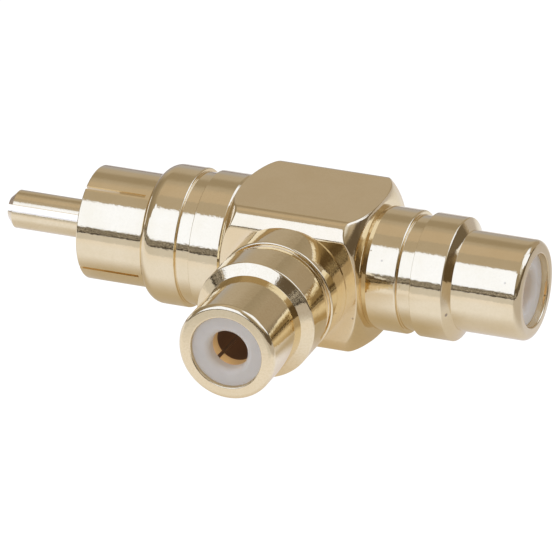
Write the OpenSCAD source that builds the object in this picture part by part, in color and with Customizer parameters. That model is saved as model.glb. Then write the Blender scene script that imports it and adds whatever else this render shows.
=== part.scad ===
// Phono T adapter: one plug, one straight socket and one side socket on a square brass body.
// The X axis runs from the plug to the straight socket, the side socket points along -Y,
// and the underside of the body lies on Z = 0. Millimetres.

/* [Body] */
// Width across the flats of the square bar
bar_af = 11.6; // [11:0.1:14]
// Length of the bar between its two seat faces
bar_len = 12.1; // [11.8:0.1:16]
// Rounding of the four long edges of the bar
bar_edge_r = 1.5; // [0.6:0.1:2]
// Rim of flat seat face left outside the socket collar
seat_rim = 0.45; // [0.2:0.05:0.6]
// Length of the turned bevel on each end of the bar
end_bevel_len = 1.4; // [0.6:0.1:1.8]
// Radius of the crown on the turned bevel
end_crown_r = 3.2; // [2.5:0.1:8]

/* [Press fits] */
// Radius of the spigots pressed into the body
spigot_r = 3.9; // [3.7:0.05:4.2]
// Depth of the spigots in the body
spigot_len = 1.5; // [1:0.1:1.7]
// Radial gap drawn in every pressed joint
press_gap = 0.01; // [0.005:0.005:0.03]

/* [Sockets] */
// Diameter of the two collars on a socket
collar_d = 10.2; // [9.8:0.1:10.8]
// Length of the inner collar, next to the body
inner_collar_len = 3; // [2:0.1:4]
// Length of the outer collar, next to the barrel
outer_collar_len = 2.75; // [2:0.05:4]
// Length of the bevel from the outer collar down to the barrel
nose_bevel_len = 0.5; // [0.2:0.05:0.9]
// Diameter of the socket barrel that the plug grips
barrel_d = 8.3; // [8:0.1:8.6]
// Length of the socket barrel
barrel_len = 5.85; // [4.5:0.05:8]
// Rounding of the barrel's outer rim
barrel_rim_r = 0.45; // [0.2:0.05:0.7]
// Diameter of the bore in the barrel
barrel_bore_d = 6.1; // [5.8:0.1:6.4]
// Depth of the chamfer where the inner collar seats on the body
seat_chamfer = 0.15; // [0.1:0.05:0.4]
// Length of that chamfer along the socket
seat_chamfer_run = 0.4; // [0.1:0.05:0.6]

/* [Grooves] */
// Width of the decorative groove on each collar
groove_w = 1.2; // [0.8:0.05:1.8]
// Depth of the groove on a socket
socket_groove_depth = 0.35; // [0.2:0.05:0.5]
// Depth of the groove on the plug
plug_groove_depth = 0.28; // [0.2:0.02:0.5]

/* [Plug] */
// Length of the plain neck next to the body
neck_len = 2.75; // [2:0.05:4]
// Length of the plug collar's full diameter
plug_collar_len = 2.2; // [1.5:0.05:4]
// Length of the rounded shoulder in front of the collar
shoulder_len = 1.25; // [1.1:0.05:2.2]
// Outer diameter of the ground shell
shell_d = 9.45; // [9.2:0.05:9.8]
// Wall of the ground shell
shell_wall = 0.575; // [0.4:0.025:0.7]
// Length of the ground shell in front of the shoulder
shell_len = 5.75; // [4:0.05:7]
// Number of slots that let the ground shell spring
slot_count = 4; // [2:1:6]
// Width of one slot
slot_w = 0.28; // [0.2:0.02:0.6]
// Length of the slots
slot_len = 5.3; // [3:0.1:6]
// Turn of the first slot from straight up
slot_turn = 61; // [0:1:89]
// Chamfer where the neck seats on the body
neck_chamfer = 0.2; // [0.1:0.05:0.4]
// Depth of the hollow inside the ground shell
cavity_depth = 7.2; // [5:0.1:8]

/* [Centre pin] */
// Diameter of the centre pin
pin_d = 3.2; // [3:0.05:3.3]
// Reach of the pin beyond the mouth of the ground shell
pin_reach = 7.7; // [6:0.1:9]
// Chamfer of the tip of the pin
pin_nose = 0.6; // [0.3:0.05:1]
// Width of the slot that splits the pin
pin_slot_w = 0.55; // [0.3:0.05:0.8]
// Length of the slot that splits the pin
pin_slot_len = 9.5; // [6:0.5:12]
// Turn of the pin's slot from straight up
pin_slot_turn = 116; // [0:1:179]
// Diameter of the thicker shank where the pin passes through its insulator
pin_shank_d = 3.8; // [3.5:0.1:4.2]
// Diameter of the flange that keeps the pin in its insulator
pin_flange_d = 4.8; // [4.5:0.1:5.2]
// Thickness of that flange
pin_flange_len = 0.9; // [0.6:0.1:1.2]

/* [Insulators] */
// Depth of a socket insulator's face below the rim of its barrel
face_recess = 0.45; // [0.2:0.05:1]
// Thickness of the insulator's front wall
lip_len = 1.1; // [0.8:0.05:1.6]
// Radial clearance of a 3.2 mm pin in the insulator's hole
lip_gap = 0.05; // [0.02:0.01:0.2]
// Rounding of the lip round that hole
lip_round_r = 0.5; // [0.2:0.05:0.7]
// Radius of the insulator's rear flange
rear_flange_r = 3.4; // [3.25:0.05:3.5]
// Length of the insulator's rear flange
rear_flange_len = 3.5; // [2.5:0.1:4]
// Distance from the seat face to the shoulder that stops the insulator
stop_depth = 5; // [4.5:0.1:6]
// Length of the wide part of the plug's insulator
plug_insulator_len = 3.95; // [3:0.05:4.2]
// Radius of the narrow rear boss of the plug's insulator
plug_boss_r = 3.2; // [3:0.05:3.4]
// Length of that boss
plug_boss_len = 2.5; // [2:0.1:3]

/* [Contacts] */
// Outer radius of the tubular contact
contact_r = 2.1; // [2:0.05:2.3]
// Radial clearance of a 3.2 mm pin in the contact
contact_gap = 0.02; // [0.01:0.005:0.05]
// Depth of the contact's bore
contact_bore_len = 8; // [7:0.1:8.4]
// Number of slits that let the contact spring
slit_count = 4; // [2:1:6]
// Width of one slit
slit_w = 0.3; // [0.2:0.02:0.5]
// Length of the slits
slit_len = 5; // [3:0.1:6]
// Thickness of the wall behind the contact's bore
contact_back_len = 0.75; // [0.5:0.05:1]
// Radius of the flange at the back of the contact
contact_flange_r = 2.6; // [2.4:0.05:2.8]
// Thickness of that flange
contact_flange_len = 0.8; // [0.6:0.1:1]

/* [Junction] */
// Diameter of the tails that run to the junction
tail_d = 1.6; // [1.2:0.1:1.8]
// Diameter of the cross-drilled junction hub
hub_d = 3.6; // [3:0.1:4]
// Height of the junction hub
hub_len = 3.6; // [3:0.1:4.4]
// Gap between the ends of the tails inside the hub
tail_end_gap = 0.05; // [0.02:0.01:0.1]

/* [Hidden] */
$fn = 96;

// Finishes
gold_plate = [0.83, 0.72, 0.49];
pale_plastic = [0.86, 0.85, 0.87];
raw_brass = [0.72, 0.58, 0.30];

// Small excess by which a cutting shape passes the face that it cuts
past = 0.5;
// Small edge break on turned corners
edge_break = 0.12;
// Countersink that leads a pin into its contact
lead_in = 0.24;

// Body
bar_half = bar_af / 2;
axis_h = bar_half;
bar_half_len = bar_len / 2;
bore_r = spigot_r + press_gap;
corner_r = (bar_half - bar_edge_r) * sqrt(2) + bar_edge_r;

// Turned bevel: an arc from the seat face's rim to the corners of the bar
bevel_r0 = collar_d / 2 + seat_rim;
bevel_r1 = corner_r;
bevel_chord = norm([bevel_r1 - bevel_r0, end_bevel_len]);
bevel_inward = sqrt(pow(end_crown_r, 2) - pow(bevel_chord / 2, 2));
bevel_centre = [
    (bevel_r0 + bevel_r1) / 2 - bevel_inward * end_bevel_len / bevel_chord,
    bar_half_len - end_bevel_len / 2 - bevel_inward * (bevel_r1 - bevel_r0) / bevel_chord
];

// Sockets, measured outward from the seat face
collar_r = collar_d / 2;
barrel_r = barrel_d / 2;
barrel_bore_r = barrel_bore_d / 2;
outer_collar_z = inner_collar_len + groove_w;
nose_bevel_z = outer_collar_z + outer_collar_len;
barrel_z = nose_bevel_z + nose_bevel_len;
socket_end_z = barrel_z + barrel_len;
face_z = socket_end_z - face_recess;
pocket_z = face_z - lip_len;
insulator_back_z = stop_depth - rear_flange_len;

// Pin, contact and the holes that take them
pin_r = pin_d / 2;
lip_r = pin_r + lip_gap;
contact_bore_r = pin_r + contact_gap;
contact_flange_z = pocket_z - contact_bore_len - contact_back_len;
contact_back_z = contact_flange_z - contact_flange_len;
tail_r = tail_d / 2;
hub_r = hub_d / 2;

// Plug, measured outward from the other seat face
plug_collar_r = bar_half;
plug_collar_z = neck_len + groove_w;
shoulder_z = plug_collar_z + plug_collar_len;
shell_z = shoulder_z + shoulder_len;
mouth_z = shell_z + shell_len;
shell_r = shell_d / 2;
shell_bore_r = shell_r - shell_wall;
shoulder_rise = plug_collar_r - shell_r;
shoulder_arc_r = (pow(shoulder_len, 2) + pow(shoulder_rise, 2)) / (2 * shoulder_rise);
plug_face_z = mouth_z - cavity_depth;
plug_stop_z = plug_face_z - plug_insulator_len;
plug_back_z = plug_stop_z - plug_boss_len;
pin_tip_z = mouth_z + pin_reach;
pin_shank_r = pin_shank_d / 2;
pin_flange_r = pin_flange_d / 2;

// Local +Z of each arm points outward, away from the body
module on_plug_side() {
    translate([-bar_half_len, 0, axis_h]) rotate([0, -90, 0]) children();
}

module on_through_side() {
    translate([bar_half_len, 0, axis_h]) rotate([0, 90, 0]) children();
}

module on_side() {
    translate([0, -bar_half, axis_h]) rotate([90, 0, 0]) children();
}

// One band of a turned profile: radius r0 to r1, height z0 to z1
module band(r0, r1, z0, z1) {
    translate([r0, z0]) square([r1 - r0, z1 - z0]);
}

// What is cut from an outer corner that faces +Z to round it
module corner_round(r, z, radius) {
    difference() {
        translate([r - radius, z - radius]) square(radius + past);
        translate([r - radius, z - radius]) circle(radius);
    }
}

// Plain hole along Z from z0 to z1
module hole(r, z0, z1) {
    translate([0, 0, z0]) cylinder(r = r, h = z1 - z0);
}

// Thin cuts through a tube, spread round its axis
module spring_cuts(count, width, radius, z0, z1, turn) {
    for (k = [0 : count - 1])
        rotate([0, 0, turn + k * 360 / count])
            translate([0, -width / 2, z0])
                cube([radius, width, z1 - z0]);
}

// Square bar with four rounded long edges, along Z
module rounded_bar() {
    flat = bar_half - bar_edge_r;
    translate([0, 0, -bar_half_len]) linear_extrude(bar_len) {
        square([bar_af, 2 * flat], center = true);
        square([2 * flat, bar_af], center = true);
        for (x = [-flat, flat], y = [-flat, flat]) translate([x, y]) circle(bar_edge_r);
    }
}

// Turned envelope of the bar: a flat seat face with a crowned bevel round it, at both ends
module turned_envelope() {
    rotate_extrude() {
        band(0, bevel_r0, -bar_half_len, bar_half_len);
        band(0, bevel_r1 + past, -bar_half_len + end_bevel_len, bar_half_len - end_bevel_len);
        for (side = [-1, 1]) intersection() {
            translate([bevel_centre[0], side * bevel_centre[1]]) circle(end_crown_r);
            band(bevel_r0 - past, bevel_r1, side > 0 ? 0 : -bar_half_len, side > 0 ? bar_half_len : 0);
        }
    }
}

module tee_body() {
    color(gold_plate) difference() {
        translate([0, 0, axis_h]) rotate([0, 90, 0]) intersection() {
            rounded_bar();
            turned_envelope();
        }
        on_plug_side() hole(bore_r, -bar_len - past, past);
        on_side() hole(bore_r, -bar_half, past);
    }
}

// Outline of a socket shell, without its bores
module socket_outline() {
    difference() {
        union() {
            band(0, spigot_r, -spigot_len, 0);
            band(0, collar_r, 0, nose_bevel_z);
            polygon([[0, nose_bevel_z], [collar_r, nose_bevel_z], [barrel_r, barrel_z], [0, barrel_z]]);
            band(0, barrel_r, barrel_z, socket_end_z);
        }
        polygon([
            [collar_r - seat_chamfer, 0], [collar_r, seat_chamfer_run],
            [collar_r + past, seat_chamfer_run], [collar_r + past, 0]
        ]);
        band(collar_r - socket_groove_depth, collar_r + past, inner_collar_len, outer_collar_z);
        corner_round(barrel_r, socket_end_z, barrel_rim_r);
    }
}

module socket_shell() {
    color(gold_plate) difference() {
        rotate_extrude() socket_outline();
        hole(barrel_bore_r, stop_depth, socket_end_z + past);
        hole(rear_flange_r, -spigot_len - past, stop_depth);
        translate([0, 0, socket_end_z - edge_break])
            cylinder(r1 = barrel_bore_r, r2 = barrel_bore_r + edge_break + past, h = edge_break + past);
    }
}

// Insulator of a socket: a stepped bush with a rounded lip round the pin's hole
module socket_insulator() {
    color(pale_plastic) rotate_extrude() difference() {
        union() {
            band(0, rear_flange_r - press_gap, insulator_back_z, stop_depth);
            band(0, barrel_bore_r - press_gap, stop_depth, face_z);
        }
        band(0, contact_flange_r + press_gap, insulator_back_z - past, contact_flange_z);
        band(0, contact_r + press_gap, contact_flange_z - past, pocket_z);
        band(0, lip_r, pocket_z - past, face_z + past);
        difference() {
            band(0, lip_r + lip_round_r, face_z - lip_round_r, face_z + past);
            translate([lip_r + lip_round_r, face_z - lip_round_r]) circle(lip_round_r);
        }
    }
}

// Tubular contact of a socket, with its flange and a tail of the given length behind it
module socket_contact(tail_len) {
    color(raw_brass) difference() {
        rotate_extrude() {
            band(0, tail_r, contact_back_z - tail_len, contact_back_z + past);
            band(0, contact_flange_r, contact_back_z, contact_flange_z);
            difference() {
                band(0, contact_r, contact_flange_z, pocket_z);
                corner_round(contact_r, pocket_z, edge_break);
            }
        }
        hole(contact_bore_r, pocket_z - contact_bore_len, pocket_z + past);
        translate([0, 0, pocket_z - lead_in])
            cylinder(r1 = contact_bore_r, r2 = contact_bore_r + lead_in + past, h = lead_in + past);
        spring_cuts(slit_count, slit_w, contact_r + past, pocket_z - slit_len, pocket_z + past, 45);
    }
}

// Outline of the plug's shell, without its bores: neck, groove, collar, shoulder and ground shell
module plug_outline() {
    difference() {
        union() {
            band(0, spigot_r, -spigot_len, 0);
            band(0, plug_collar_r, 0, shoulder_z);
            intersection() {
                translate([plug_collar_r - shoulder_arc_r, shoulder_z]) circle(shoulder_arc_r);
                band(0, plug_collar_r, shoulder_z, mouth_z);
            }
            band(0, shell_r, shoulder_z, mouth_z);
        }
        polygon([
            [plug_collar_r - neck_chamfer, 0], [plug_collar_r, neck_chamfer],
            [plug_collar_r + past, neck_chamfer], [plug_collar_r + past, 0]
        ]);
        band(plug_collar_r - plug_groove_depth, plug_collar_r + past, neck_len, plug_collar_z);
        corner_round(shell_r, mouth_z, edge_break);
    }
}

module plug_shell() {
    color(gold_plate) on_plug_side() difference() {
        rotate_extrude() plug_outline();
        hole(shell_bore_r, plug_stop_z, mouth_z + past);
        hole(plug_boss_r, -spigot_len - past, plug_stop_z + past);
        translate([0, 0, mouth_z - edge_break])
            cylinder(r1 = shell_bore_r, r2 = shell_bore_r + edge_break + past, h = edge_break + past);
        spring_cuts(slot_count, slot_w, plug_collar_r, mouth_z - slot_len, mouth_z + past, slot_turn);
    }
}

module plug_insulator() {
    color(pale_plastic) on_plug_side() rotate_extrude() difference() {
        union() {
            band(0, plug_boss_r - press_gap, plug_back_z, plug_stop_z);
            band(0, shell_bore_r - press_gap, plug_stop_z, plug_face_z);
        }
        band(0, pin_shank_r + press_gap, plug_stop_z - past, plug_face_z + past);
        band(0, pin_flange_r + press_gap, plug_back_z - past, plug_stop_z);
    }
}

// Split centre pin, with the flange that its insulator holds and the tail that runs to the hub
module plug_pin() {
    color(gold_plate) on_plug_side() difference() {
        rotate_extrude() {
            band(0, tail_r, -bar_half_len + tail_end_gap, plug_stop_z);
            band(0, pin_flange_r, plug_stop_z - pin_flange_len, plug_stop_z);
            band(0, pin_shank_r, plug_stop_z, plug_face_z);
            polygon([
                [0, plug_face_z], [pin_r, plug_face_z], [pin_r, pin_tip_z - pin_nose],
                [pin_r - pin_nose, pin_tip_z], [0, pin_tip_z]
            ]);
        }
        rotate([0, 0, pin_slot_turn])
            translate([-pin_d, -pin_slot_w / 2, pin_tip_z - pin_slot_len])
                cube([2 * pin_d, pin_slot_w, pin_slot_len + past]);
    }
}

module through_socket_shell() {
    on_through_side() socket_shell();
}

module through_socket_insulator() {
    on_through_side() socket_insulator();
}

module through_socket_contact() {
    on_through_side() socket_contact(contact_back_z + bar_half_len - tail_end_gap);
}

module side_socket_shell() {
    on_side() socket_shell();
}

module side_socket_insulator() {
    on_side() socket_insulator();
}

module side_socket_contact() {
    on_side() socket_contact(contact_back_z + bar_half - tail_r - press_gap - tail_end_gap);
}

// Hub where the three tails meet: drilled across for the two in line, and from the side for the third
module junction_hub() {
    tail_hole_r = tail_r + press_gap;
    color(raw_brass) translate([0, 0, axis_h]) difference() {
        translate([0, 0, -hub_len / 2]) cylinder(d = hub_d, h = hub_len);
        rotate([0, 90, 0]) hole(tail_hole_r, -hub_r - past, hub_r + past);
        rotate([90, 0, 0]) hole(tail_hole_r, 0, hub_r + past);
    }
}

tee_body();
plug_shell();
plug_insulator();
plug_pin();
through_socket_shell();
through_socket_insulator();
through_socket_contact();
side_socket_shell();
side_socket_insulator();
side_socket_contact();
junction_hub();
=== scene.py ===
"""Phono tee adapter: a slotted plug, a socket in line with it and a socket at the side, on a square body.

Polished pieces are turned surfaces worked out on grids, so that the plating reflects without facets. Sizes
are millimetres along and round each piece's own axis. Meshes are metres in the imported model's frame: +X from
the plug to the in-line socket, the side socket along -Y, and the body's underside on Z = 0.
"""

import logging
import math
from dataclasses import dataclass
from enum import Enum
from typing import Any

import bmesh
import bpy
import numpy as np
from mathutils import Matrix, Vector


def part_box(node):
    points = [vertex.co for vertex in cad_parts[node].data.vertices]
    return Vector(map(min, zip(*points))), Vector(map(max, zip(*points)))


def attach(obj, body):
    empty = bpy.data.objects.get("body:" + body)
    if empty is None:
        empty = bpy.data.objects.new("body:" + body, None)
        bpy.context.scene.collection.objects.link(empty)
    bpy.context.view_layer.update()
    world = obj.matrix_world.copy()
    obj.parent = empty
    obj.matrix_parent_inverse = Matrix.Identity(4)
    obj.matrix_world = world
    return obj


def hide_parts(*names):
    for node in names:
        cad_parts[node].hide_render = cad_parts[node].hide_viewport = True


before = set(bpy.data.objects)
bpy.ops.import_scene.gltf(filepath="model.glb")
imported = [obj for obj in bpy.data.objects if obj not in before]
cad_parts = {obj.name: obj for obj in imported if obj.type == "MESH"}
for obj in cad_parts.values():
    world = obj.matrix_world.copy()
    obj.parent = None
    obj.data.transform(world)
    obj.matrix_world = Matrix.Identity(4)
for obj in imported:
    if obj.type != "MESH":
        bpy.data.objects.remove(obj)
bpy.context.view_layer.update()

LOG = logging.getLogger("tee_adapter")
MM = 0.001
BODY = "root"
# Face attribute that carries the painted shade and bounce light of hollows
RECESS_SHADE = "recess_shade"

# Edges that turn by more than this many degrees stay hard
SHARP_DEG = 32

# A row whose radius is under this many millimetres is a pole
POLE = 1e-6

# Roundings of turned edges in millimetres, from a sharp corner to a broken edge
CRISP, TIGHT, EASED, BROKEN = 0.02, 0.03, 0.05, 0.1

# Millimetres by which a shaded band reaches past the surface that it covers
PAST = 0.02

Array = np.ndarray
Pair = tuple[float, float]
Triple = tuple[float, float, float]
Colour = tuple[float, float, float, float]
Faces = list[tuple[int, ...]]


def axis_height() -> float:
    """Height of the crossing of the axes above the floor, in metres: half of the body's width."""
    low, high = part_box("tee_body")
    return (high.z - low.z) / 2


class Arm(Enum):
    """The three arms, each with where a piece's own x, y and z axes point; z leads away from the body."""

    PLUG = ((0, 0, 1), (0, 1, 0), (-1, 0, 0))
    THROUGH = ((0, 0, -1), (0, 1, 0), (1, 0, 0))
    SIDE = ((1, 0, 0), (0, 0, 1), (0, -1, 0))

    @property
    def seat(self) -> float:
        """Millimetres from the crossing of the axes to the seat: half the body's length or width."""
        low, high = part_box("tee_body")
        return ((high.y - low.y) if self is Arm.SIDE else (high.x - low.x)) / 2 / MM

    def place(self, points: Array) -> Array:
        """Points from the middle of the seat face, in the part's frame from the crossing of the axes."""
        return (points + (0.0, 0.0, self.seat)) @ np.array(self.value, float)


class Slot(Enum):
    """Material slots of the record."""

    PLATE = "gold_plate"
    PLASTIC = "insulator"
    CONTACT = "contact"


@dataclass
class Surface:
    """A closed surface: points, and faces as tuples of point numbers, first the walls of slots.

    Walls counts them. For each point, a share from 0 to 1 says how much painted shade and bounce light of
    hollows it takes.
    """

    points: Array
    faces: Faces
    walls: int = 0
    recess_shade: Array | None = None

    def shade(self, radius: float, low_z: float, high_z: float, share: float = 1, fade: float = 0.02) -> None:
        """Raises the recess near the axis to share * min(z - low, high - z) / fade, kept from 0 to the share.

        Args:
            radius: Points up to this radius take part.
            low_z: Start of the band.
            high_z: End of the band.
            share: The value inside the band.
            fade: Distance over which both ends reach it.
        """
        z = self.points[:, 2]
        within = np.hypot(self.points[:, 0], self.points[:, 1]) <= radius
        value = share * within * np.clip(np.minimum(z - low_z, high_z - z) / fade, 0, 1)
        self.recess_shade = value if self.recess_shade is None else np.maximum(self.recess_shade, value)

    def face_recess(self) -> Array:
        """Recess of every face: the mean of its corners, and 1 for the walls of slots.

        Returns:
            One value for each face.
        """
        counts = np.array([len(face) for face in self.faces])
        corners = np.concatenate([np.array(face) for face in self.faces])
        starts = np.concatenate([[0], np.cumsum(counts)[:-1]])
        values = np.add.reduceat(self.recess_shade[corners], starts) / counts
        values[: self.walls] = 1.0
        return values


@dataclass(frozen=True)
class Turn:
    """A turned outline, as corners of height, radius and rounding.

    An arc takes no more than the room, a share of the shorter stretch beside it.
    """

    corners: tuple[Triple, ...]
    closed: bool = True
    arc_steps: int = 8
    guard: float = 0.025
    room: float = 0.75

    def rows(self) -> Array:
        """Replaces the corners by arcs and guards the ends of the long stretches.

        Returns:
            Rows of height and radius.
        """
        corners = np.array(self.corners, float)
        count = len(corners)
        pieces = []
        for i, rounding in enumerate(corners[:, 2]):
            if rounding <= 0 or (not self.closed and i in (0, count - 1)):
                pieces.append(corners[i : i + 1, :2])
            else:
                before, corner, after = corners[[i - 1, i, (i + 1) % count], :2]
                pieces.append(self.arc(corner, before, after, rounding))
        return self.guarded(np.concatenate(pieces))

    def arc(self, corner: Array, before: Array, after: Array, radius: float) -> Array:
        """Rounds one corner by an arc that starts radius / tan(half the corner's angle) from it.

        Args:
            corner: Height and radius of the corner.
            before: The corner before it.
            after: The corner after it.
            radius: Radius of the arc, less where there is no room.

        Returns:
            Rows along the arc.
        """
        to_before, to_after = before - corner, after - corner
        room = self.room * min(np.linalg.norm(to_before), np.linalg.norm(to_after))
        to_before /= np.linalg.norm(to_before)
        to_after /= np.linalg.norm(to_after)
        half = 0.5 * math.acos(float(np.clip(to_before @ to_after, -1, 1)))
        run = min(radius / math.tan(half), room)
        middle = to_before + to_after
        centre = corner + middle / np.linalg.norm(middle) * run / math.cos(half)
        start, end = corner + to_before * run - centre, corner + to_after * run - centre
        first = math.atan2(start[1], start[0])
        sweep = (math.atan2(end[1], end[0]) - first + math.pi) % (2 * math.pi) - math.pi
        angle = first + sweep * np.linspace(0, 1, self.arc_steps + 1)
        return centre + np.hypot(*start) * np.column_stack([np.cos(angle), np.sin(angle)])

    def guarded(self, rows: Array) -> Array:
        """Adds a row near each end of every stretch over four guards long, to keep its shading flat.

        Args:
            rows: Rows of height and radius.

        Returns:
            The rows and their guards.
        """
        following = np.roll(rows, -1, axis=0)
        step = following - rows
        length = np.linalg.norm(step, axis=1)
        unit = step / np.maximum(length, 1e-9)[:, None]
        three = np.stack([rows, rows + unit * self.guard, following - unit * self.guard], axis=1)
        wanted = np.repeat((length > 4 * self.guard)[:, None], 3, axis=1)
        wanted[:, 0] = True
        if not self.closed:
            wanted[-1, 1:] = False
        return three[wanted]


@dataclass(frozen=True)
class Ring:
    """Columns round an axis. Slots are one column wide, and their walls are parallel but near the axis."""

    cells: int = 256
    slots: int = 0
    width: float = 0.0
    turn_deg: float = 0.0
    most_sine: float = 0.9

    @property
    def spread(self) -> Array:
        """Place of each column between two slots, from 0 to 1."""
        return np.tile(np.linspace(0, 1, self.cells // self.slots), self.slots)

    @property
    def gaps(self) -> Array:
        """Which columns have a slot between them and the next one."""
        return self.spread == 1 if self.slots else np.zeros(self.cells, bool)

    def angles(self, radius: Array) -> Array:
        """Angle of every column: a slot of width w takes asin(w / 2 r) on each side, the rest is shared.

        Args:
            radius: Radius r of each row.

        Returns:
            Angles, one row for each radius.
        """
        if not self.slots:
            even = np.arange(self.cells) * 2 * math.pi / self.cells
            return np.broadcast_to(even, (len(radius), self.cells))
        pitch = 2 * math.pi / self.slots
        sector = np.repeat(np.arange(self.slots), self.cells // self.slots)
        middle = math.radians(self.turn_deg) + (sector + self.spread) * pitch
        half = np.arcsin(np.clip(self.width / 2 / np.maximum(radius, POLE), 0, self.most_sine))
        return middle + (1 - 2 * self.spread) * half[:, None]

    def points(self, rows: Array) -> Array:
        """Points of rows of height and radius.

        Args:
            rows: The rows.

        Returns:
            Points of x, y and z, row after row.
        """
        angle = self.angles(rows[:, 1])
        radius = rows[:, 1:2]
        height = np.broadcast_to(rows[:, :1], angle.shape)
        return np.stack([radius * np.cos(angle), radius * np.sin(angle), height], axis=-1).reshape(-1, 3)

    def numbers(self, rows: Array) -> Array:
        """Numbers of the points, where the points of a row at radius 0 share one.

        Args:
            rows: Rows of height and radius.

        Returns:
            The numbers in rows and columns.
        """
        number = np.arange(len(rows) * self.cells).reshape(len(rows), self.cells)
        poles = rows[:, 1] < POLE
        number[poles] = number[poles][:, :1]
        return number


def quads(*corners: Array) -> Faces:
    """Faces from the numbers of their corners; a number that comes twice in a row is left out once.

    Args:
        *corners: Four arrays, for the first to the fourth corner.

    Returns:
        Faces with three or four corners.
    """
    four = np.column_stack([corner.ravel() for corner in np.broadcast_arrays(*corners)])
    repeated = four == np.roll(four, -1, axis=1)
    whole = four[~repeated.any(axis=1)]
    pinched = repeated.sum(axis=1) == 1
    three = four[pinched][~repeated[pinched]].reshape(-1, 3)
    return [tuple(face) for face in whole.tolist() + three.tolist()]


def turned(rows: Array, ring: Ring, closed: bool = True, cut: tuple[int, int] | None = None) -> Surface:
    """Turns an outline about its axis: point (row, column) = (r cos a, r sin a, z).

    Args:
        rows: Rows of height and radius; a row at radius 0 becomes one pole.
        ring: The columns.
        closed: Whether the last row joins the first.
        cut: First and last row that the ring's slots cut through, out along the outside and back along the
            inside with as many rows each way.

    Returns:
        The closed surface.
    """
    number = ring.numbers(rows)
    top, side = np.roll(number, -1, axis=0), np.roll(number, -1, axis=1)
    keep = np.ones(number.shape, bool)
    if not closed:
        keep[-1] = False
    faces: Faces = []
    if cut is not None:
        first, last = cut
        keep[first:last, ring.gaps] = False
        left = np.flatnonzero(ring.gaps)
        right = (left + 1) % ring.cells
        out = np.arange(first, first + (last - first) // 2)
        back = last - (out - first)
        for edge in (left, right):
            faces += quads(*(number[np.ix_(row, edge)] for row in (out, out + 1, back - 1, back)))
        faces += quads(number[first, left], number[first, right], number[last, right], number[last, left])
    walls = len(faces)
    faces += quads(number[keep], side[keep], np.roll(top, -1, axis=1)[keep], top[keep])
    return Surface(ring.points(rows), faces, walls)


def split_rod(rows: Array, ring: Ring, start: int, across: int = 12, edge: float = 0.028) -> Surface:
    """Turns a rod whose end is split in two by a flat slot.

    Each half gets a flat wall, a straight run of points across the rod at every row, and its own flat end.
    The walls meet the slot's floor at the slot's first row.

    Args:
        rows: Rows of height and radius, from a pole to the rim of the rod's end.
        ring: Columns with two slots.
        start: The slot's first row.
        across: Points along each flat wall, its ends included.
        edge: How far the slot's long edges are taken down.

    Returns:
        The closed surface.
    """
    half = ring.cells // 2
    points = [ring.points(rows)]
    shell = points[0].reshape(len(rows), ring.cells, 3)
    rims = np.flatnonzero(ring.gaps | np.roll(ring.gaps, 1))
    shell[np.ix_(np.arange(start, len(rows)), rims, (0, 1))] *= 1 - edge / rows[start:, 1][:, None, None]
    number = ring.numbers(rows)
    side = np.roll(number, -1, axis=1)
    keep = np.ones((len(rows) - 1, ring.cells), bool)
    keep[start:, ring.gaps] = False
    faces = quads(number[:-1][keep], side[:-1][keep], side[1:][keep], number[1:][keep])
    total = len(points[0])
    share = np.linspace(0, 1, across)[1:-1, None]
    floors = []
    for head in (0, half):
        tail = head + half - 1
        begin, end = shell[start:, tail][:, None], shell[start:, head][:, None]
        inner = begin * (1 - share) + end * share
        inner_number = total + np.arange(inner.shape[0] * inner.shape[1]).reshape(inner.shape[:2])
        total += inner_number.size
        points.append(inner.reshape(-1, 3))
        chord = np.column_stack([number[start:, tail], inner_number, number[start:, head]])
        faces += quads(chord[:-1, :-1], chord[:-1, 1:], chord[1:, 1:], chord[1:, :-1])
        faces.append(tuple(np.concatenate([number[-1, head : tail + 1], chord[-1, 1:-1]]).tolist()))
        floors.append(chord[0])
    one, other = floors[0], floors[1][::-1]
    faces += quads(one[:-1], one[1:], other[1:], other[:-1])
    return Surface(np.concatenate(points), faces)


def make_piece(name: str, surface: Surface, nodes: tuple[str, ...]) -> bpy.types.Object:
    """Makes a mesh object of a surface, which rides on the body and stands for its nodes.

    Args:
        name: The piece's name.
        surface: The surface, in millimetres from the crossing of the axes.
        nodes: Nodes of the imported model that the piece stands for.

    Returns:
        The object, at the origin, with its place in its mesh.
    """
    mesh = bpy.data.meshes.new(name)
    lift = np.array([0.0, 0.0, axis_height()])
    mesh.from_pydata((surface.points * MM + lift).tolist(), [], surface.faces)
    if surface.recess_shade is not None:
        mesh.attributes.new(RECESS_SHADE, "FLOAT", "FACE").data.foreach_set("value", surface.face_recess())
    work = bmesh.new()
    work.from_mesh(mesh)
    loose = [v for v in work.verts if not v.link_faces]
    bmesh.ops.delete(work, geom=loose, context="VERTS")
    bmesh.ops.recalc_face_normals(work, faces=work.faces)
    work.to_mesh(mesh)
    work.free()
    mesh.shade_smooth()
    mesh.set_sharp_from_angle(angle=math.radians(SHARP_DEG))
    piece = bpy.data.objects.new(name, mesh)
    bpy.context.scene.collection.objects.link(piece)
    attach(piece, BODY)
    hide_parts(*nodes)
    LOG.info("%s: %d faces", name, len(mesh.polygons))
    return piece


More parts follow.
